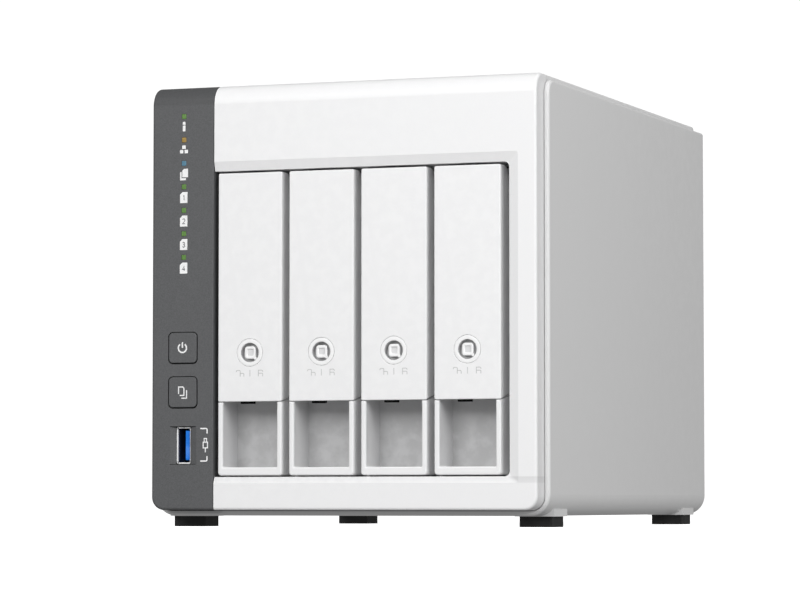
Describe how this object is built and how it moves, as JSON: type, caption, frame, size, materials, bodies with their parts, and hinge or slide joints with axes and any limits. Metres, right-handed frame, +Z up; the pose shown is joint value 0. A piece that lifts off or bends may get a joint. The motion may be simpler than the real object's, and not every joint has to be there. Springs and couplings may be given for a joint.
{
  "type": "network attached storage",
  "caption": "Desktop network storage box with vertical sliding drive trays, hinged and lockable tray handles, side control strip, rear fan and rubber feet.",
  "frame": {"origin": "on the table under the middle of the case", "axes": "+Z up, -Y towards the drive trays at the front, +X to the right as the user faces the front"},
  "size_m": [0.16, 0.219, 0.169],
  "materials": {
    "shell_white": "fine satin moulded",
    "front_white": "fine satin moulded",
    "tray_white": "fine satin moulded",
    "lock_white": "smooth satin",
    "panel_grey": "fine spark-eroded grain",
    "foot_rubber": "matt",
    "light_lens": "clear glossy",
    "circuit_board": "solder mask",
    "black_plastic": "satin",
    "blue_plastic": "satin",
    "bright_steel": "bright nickel",
    "jack_metal": "tinned sheet",
    "cage_steel": "zinc coated sheet",
    "screw_steel": "zinc plated",
    "rear_paint": "light grey powder coat",
    "heatsink_aluminium": "anodised",
    "drive_aluminium": "cast, satin"
  },
  "bodies": {
    "casing": {"case_shell": "shell_white", "rubber_feet": "foot_rubber", "top_cover": "shell_white", "front_bezel": "front_white", "control_panel": "panel_grey", "status_lights": "light_lens", "panel_board": "circuit_board", "button_switches": "black_plastic", "front_usb_shell": "bright_steel", "front_usb_tongue": "blue_plastic", "cage_floor": "cage_steel", "cage_roof": "cage_steel", "bay_walls": "cage_steel", "backplane_board": "circuit_board", "drive_sockets": "black_plastic", "fan_frame": "black_plastic", "fan_screws": "screw_steel", "rear_panel": "rear_paint", "port_plate": "rear_paint", "case_screws": "screw_steel", "main_board": "circuit_board", "processor_heatsink": "heatsink_aluminium", "clock_battery": "bright_steel", "network_jacks": "jack_metal", "rear_usb_shells": "bright_steel", "rear_usb_tongues": "blue_plastic", "power_inlet": "black_plastic", "reset_switch": "black_plastic"},
    "power_button": {"power_button": "panel_grey"},
    "copy_button": {"copy_button": "panel_grey"},
    "reset_button": {"reset_button": "panel_grey"},
    "fan_rotor": {"fan_rotor": "black_plastic"},
    "tray_1": {"tray_1": "tray_white", "hard_drive_1": "drive_aluminium", "drive_screws_1": "screw_steel", "handle_pin_1": "screw_steel"},
    "handle_1": {"tray_handle_1": "tray_white", "lock_barrel_1": "lock_white"},
    "lock_1": {"lock_drum_1": "lock_white"},
    "tray_2": {"tray_2": "tray_white", "hard_drive_2": "drive_aluminium", "drive_screws_2": "screw_steel", "handle_pin_2": "screw_steel"},
    "handle_2": {"tray_handle_2": "tray_white", "lock_barrel_2": "lock_white"},
    "lock_2": {"lock_drum_2": "lock_white"},
    "tray_3": {"tray_3": "tray_white", "hard_drive_3": "drive_aluminium", "drive_screws_3": "screw_steel", "handle_pin_3": "screw_steel"},
    "handle_3": {"tray_handle_3": "tray_white", "lock_barrel_3": "lock_white"},
    "lock_3": {"lock_drum_3": "lock_white"},
    "tray_4": {"tray_4": "tray_white", "hard_drive_4": "drive_aluminium", "drive_screws_4": "screw_steel", "handle_pin_4": "screw_steel"},
    "handle_4": {"tray_handle_4": "tray_white", "lock_barrel_4": "lock_white"},
    "lock_4": {"lock_drum_4": "lock_white"}
  },
  "joints": [
    {"name": "power_press", "type": "slide", "parent": "casing", "child": "power_button", "axis": [0, 1, 0], "range_m": [0, 0.001], "stiffness_N_per_m": 1500},
    {"name": "copy_press", "type": "slide", "parent": "casing", "child": "copy_button", "axis": [0, 1, 0], "range_m": [0, 0.001], "stiffness_N_per_m": 1500},
    {"name": "reset_press", "type": "slide", "parent": "casing", "child": "reset_button", "axis": [0, -1, 0], "range_m": [0, 0.0008], "stiffness_N_per_m": 1500},
    {"name": "fan_spin", "type": "hinge", "parent": "casing", "child": "fan_rotor", "pos_m": [0.008, 0.09, 0.085], "axis": [0, 1, 0], "continuous": true},
    {"name": "tray_slide_1", "type": "slide", "parent": "casing", "child": "tray_1", "axis": [0, -1, 0], "range_m": [0, 0.155]},
    {"name": "handle_swing_1", "type": "hinge", "parent": "tray_1", "child": "handle_1", "pos_m": [-0.03735, -0.1047, 0.126], "axis": [-1, 0, 0], "range_deg": [0, 40]},
    {"name": "lock_turn_1", "type": "hinge", "parent": "handle_1", "child": "lock_1", "pos_m": [-0.03735, -0.104, 0.06615], "axis": [0, 1, 0], "range_deg": [0, 90]},
    {"name": "tray_slide_2", "type": "slide", "parent": "casing", "child": "tray_2", "axis": [0, -1, 0], "range_m": [0, 0.155]},
    {"name": "handle_swing_2", "type": "hinge", "parent": "tray_2", "child": "handle_2", "pos_m": [-0.00809, -0.1047, 0.126], "axis": [-1, 0, 0], "range_deg": [0, 40]},
    {"name": "lock_turn_2", "type": "hinge", "parent": "handle_2", "child": "lock_2", "pos_m": [-0.00809, -0.104, 0.06615], "axis": [0, 1, 0], "range_deg": [0, 90]},
    {"name": "tray_slide_3", "type": "slide", "parent": "casing", "child": "tray_3", "axis": [0, -1, 0], "range_m": [0, 0.155]},
    {"name": "handle_swing_3", "type": "hinge", "parent": "tray_3", "child": "handle_3", "pos_m": [0.02117, -0.1047, 0.126], "axis": [-1, 0, 0], "range_deg": [0, 40]},
    {"name": "lock_turn_3", "type": "hinge", "parent": "handle_3", "child": "lock_3", "pos_m": [0.02117, -0.104, 0.06615], "axis": [0, 1, 0], "range_deg": [0, 90]},
    {"name": "tray_slide_4", "type": "slide", "parent": "casing", "child": "tray_4", "axis": [0, -1, 0], "range_m": [0, 0.155]},
    {"name": "handle_swing_4", "type": "hinge", "parent": "tray_4", "child": "handle_4", "pos_m": [0.05044, -0.1047, 0.126], "axis": [-1, 0, 0], "range_deg": [0, 40]},
    {"name": "lock_turn_4", "type": "hinge", "parent": "handle_4", "child": "lock_4", "pos_m": [0.05044, -0.104, 0.06615], "axis": [0, 1, 0], "range_deg": [0, 90]}
  ]
}
